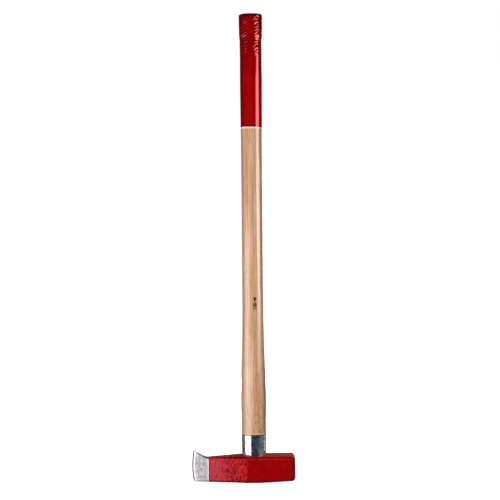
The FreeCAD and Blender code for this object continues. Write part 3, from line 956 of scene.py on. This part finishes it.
def printed_ink():
    """Black ink, rubbed thin over the wood's high spots."""
    n = Nodes("printed_ink")
    wear_and_painted_light = n.noise((0.9, 0.9, 2.4), 4)
    color = n.mix(n.ramp(wear_and_painted_light, 0.5, 0.75, 0, 0.5), srgb(10, 8, 8), srgb(60, 44, 36))
    return n.set(Base_Color=color, Roughness=n.ramp(wear_and_painted_light, 0.3, 0.7, 0.40, 0.60))


def mark_shapes():
    """Generic pictogram, a wedge over a split log on the ground: (lowest z, highest z, left(z), right(z))."""
    log_half, log_gap, log_z, log_radius = 2.9, 0.45, -3.0, 5.0

    def bulge(z):
        return log_gap + log_half * math.sqrt(max(1 - ((z - log_z) / log_radius) ** 2, 0.0))

    return [
        (2.6, 11.6, lambda z: -0.40 * (z - 2.2), lambda z: 0.40 * (z - 2.2)),
        (log_z - 4.9, log_z + 4.9, lambda z: -bulge(z), lambda z: -log_gap),
        (log_z - 4.9, log_z + 4.9, lambda z: log_gap, bulge),
        (-11.2, -9.4, lambda z: -3.6, lambda z: 3.6),
    ]


def make_mark(material, handle):
    """Thin ink shapes that lie on the handle's front."""
    rows, columns = 25, 9
    points, faces = [], []
    for low, high, left, right in mark_shapes():
        start = len(points)
        for z in np.linspace(low, high, rows):
            for x in np.linspace(left(z), right(z), columns):
                origin = Vector((x + MARK_MIDDLE[0], -60, z + MARK_MIDDLE[1])) * MM
                place = handle.ray_cast(origin, Vector((0, 1, 0)))[1]
                points.append(place - Vector((0, MARK_RAISE * MM, 0)))
        for r in range(rows - 1):
            for c in range(columns - 1):
                a = start + r * columns + c
                faces.append((a, a + 1, a + 1 + columns, a + columns))
    mesh = bpy.data.meshes.new("printed_mark")
    mesh.from_pydata(points, [], faces)
    piece = bpy.data.objects.new("printed_mark", mesh)
    bpy.context.scene.collection.objects.link(piece)
    solid = piece.modifiers.new("thickness", "SOLIDIFY")
    solid.thickness = 2 * MARK_RAISE * MM
    solid.offset = -1
    apply_modifiers(piece)
    mesh_material(piece, material)
    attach(piece, BODY)


# ---------------------------------------------------------------- stage
CAMERA_PLACE = (-0.0048, -2.5, 0.4456)
CAMERA_LENS = 93.3
CAMERA_ROLL = math.radians(0.5)
FLOOR_HALF = 30.0           # in metres, as everything on the stage
ROOM_FRONT = (0.046, 0.066, 0.094, 1.0)
ROOM_BESIDE = (0.165, 0.185, 0.200, 1.0)
ROOM_SIDES = (0.165, 0.152, 0.134, 1.0)
ROOM_HIGH = (0.012, 0.014, 0.018, 1.0)
MATT_BELOW = (0.04, 0.04, 0.04, 1.0)
MATT_ABOVE = (0.13, 0.13, 0.135, 1.0)
ROOM_BACK = (0.13, 0.13, 0.135, 1.0)


def make_stage():
    """Plain pale floor that catches a soft shadow, and is seen through from beneath."""
    n = Nodes("pale_floor")
    n.set(Base_Color=(0.8, 0.8, 0.8, 1), Roughness=0.9, Specular_IOR_Level=0.0, Emission_Color=(1, 1, 1, 1),
          Emission_Strength=0.97)
    tree = n.tree
    clear = tree.nodes.new("ShaderNodeBsdfTransparent")
    side = tree.nodes.new("ShaderNodeNewGeometry")
    choice = tree.nodes.new("ShaderNodeMixShader")
    tree.links.new(side.outputs["Backfacing"], choice.inputs[0])
    tree.links.new(n.shader.outputs[0], choice.inputs[1])
    tree.links.new(clear.outputs[0], choice.inputs[2])
    tree.links.new(choice.outputs[0], tree.nodes["Material Output"].inputs["Surface"])
    corners = [(x * FLOOR_HALF, y * FLOOR_HALF, 0) for x, y in ((-1, -1), (1, -1), (1, 1), (-1, 1))]
    mesh = bpy.data.meshes.new("floor")
    mesh.from_pydata(corners, [], [(0, 1, 2, 3)])
    floor = bpy.data.objects.new("floor", mesh)
    mesh.materials.append(n.material)
    bpy.context.scene.collection.objects.link(floor)
    floor.visible_glossy = False
    floor.visible_diffuse = False
    floor.visible_shadow = False


def make_world():
    """White to the camera, and a soft neutral fill on matt surfaces. Reflections see a room that is dark
    blue-grey in front, paler to both sides, nearly black overhead and grey behind."""
    world = bpy.data.worlds.new("studio")
    bpy.context.scene.world = world
    world.use_nodes = True
    world.cycles.sampling_method = "NONE"
    tree = world.node_tree
    path = tree.nodes.new("ShaderNodeLightPath")
    direction = tree.nodes.new("ShaderNodeTexCoord")
    split = tree.nodes.new("ShaderNodeSeparateXYZ")
    tree.links.new(direction.outputs["Generated"], split.inputs[0])

    def ramp(value, low, high):
        node = tree.nodes.new("ShaderNodeMapRange")
        node.interpolation_type = "SMOOTHSTEP"
        tree.links.new(value, node.inputs["Value"])
        node.inputs["From Min"].default_value = low
        node.inputs["From Max"].default_value = high
        return node.outputs["Result"]

    def mix(share, a, b):
        node = tree.nodes.new("ShaderNodeMix")
        node.data_type = "RGBA"
        tree.links.new(share, node.inputs["Factor"])
        for socket, value in ((node.inputs[6], a), (node.inputs[7], b)):
            if isinstance(value, tuple):
                socket.default_value = value
            else:
                tree.links.new(value, socket)
        return node.outputs[2]

    room = mix(ramp(split.outputs["Y"], -0.93, -0.70), ROOM_FRONT, ROOM_BESIDE)
    room = mix(ramp(split.outputs["Y"], -0.45, -0.05), room, ROOM_SIDES)
    room = mix(ramp(split.outputs["Z"], -0.02, 0.10), room, ROOM_HIGH)
    room = mix(ramp(split.outputs["Y"], 0.80, 0.97), room, ROOM_BACK)
    matt = mix(ramp(split.outputs["Z"], -0.5, 0.5), MATT_BELOW, MATT_ABOVE)
    color = mix(path.outputs["Is Glossy Ray"], matt, room)
    color = mix(path.outputs["Is Camera Ray"], color, (1.0, 1.0, 1.0, 1.0))
    tree.links.new(color, tree.nodes["Background"].inputs["Color"])


def softbox(name, azimuth, distance, z, size, power, glossy=True, matt=True, lean=0.0, aim_z=None):
    """Area light that faces the maul's axis, at its own height or at aim_z. Azimuth 0 is the front, and
    positive is towards +X. lean turns it round its own axis, in degrees. It may be left out of reflections
    (glossy) or light nothing but reflections (matt)."""
    data = bpy.data.lights.new(name, "AREA")
    data.shape = "RECTANGLE"
    data.size, data.size_y = size
    data.energy = power
    light = bpy.data.objects.new(name, data)
    a = math.radians(azimuth)
    light.location = (distance * math.sin(a), -distance * math.cos(a), z)
    aim = Vector((0, 0, z if aim_z is None else aim_z)) - light.location
    turned = Quaternion((0, 0, 1), math.radians(lean))
    light.rotation_euler = (aim.to_track_quat("-Z", "Y") @ turned).to_euler()
    light.visible_glossy = glossy
    light.visible_diffuse = matt
    bpy.context.scene.collection.objects.link(light)


def make_lights():
    """Boards and a strip for the reflections, and soft fills for everything else."""
    softbox("left_softbox", azimuth=-48, distance=1.5, z=0.05, size=(1.44, 0.9), power=11.6, matt=False)
    softbox("right_softbox", azimuth=54, distance=1.5, z=0.625, size=(0.80, 0.86), power=10.7, matt=False,
            lean=10)
    softbox("right_strip", azimuth=93, distance=1.5, z=-0.1, size=(0.16, 1.0), power=0.56, matt=False)
    softbox("front_fill", azimuth=-10, distance=3.0, z=0.58, size=(1.4, 2.0), power=83, glossy=False)
    softbox("back_fill", azimuth=180, distance=2.0, z=0.6, size=(3.0, 1.6), power=60, glossy=False)
    softbox("back_strip", azimuth=150, distance=1.8, z=0.5, size=(0.5, 1.6), power=12, matt=False)
    softbox("right_fill", azimuth=120, distance=2.0, z=0.45, size=(1.2, 1.4), power=10, glossy=False)
    softbox("left_fill", azimuth=-125, distance=2.0, z=0.45, size=(1.2, 1.4), power=8, glossy=False)
    softbox("top_fill", azimuth=-10, distance=0.5, z=2.4, size=(1.2, 1.2), power=5, glossy=False, aim_z=0.5)


def make_camera():
    """Straight in front, level with the middle of the handle, as in the photograph."""
    data = bpy.data.cameras.new("camera")
    data.sensor_width = 36.0
    data.lens = CAMERA_LENS
    camera = bpy.data.objects.new("camera", data)
    camera.location = CAMERA_PLACE
    camera.rotation_euler = Euler((math.radians(90), CAMERA_ROLL, 0))
    bpy.context.scene.collection.objects.link(camera)
    bpy.context.scene.camera = camera
    bpy.context.scene.view_settings.view_transform = "Standard"


def finish_cad_nodes():
    """Materials for the three wedges, which keep their CAD meshes."""
    wood, steel = wedge_wood(), wedge_steel()
    for node, material in (("timber_wedge", wood), ("steel_wedge_bit_side", steel),
                           ("steel_wedge_poll_side", steel)):
        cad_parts[node].material_slots[0].material = material


make_camera()
make_stage()
make_world()
make_lights()
make_forging(ground_steel())
make_head_paint(red_paint())
make_sleeve(bright_sleeve())
handle = make_handle(ash_wood())
make_mark(printed_ink(), handle)
make_lacquer(red_lacquer())
finish_cad_nodes()
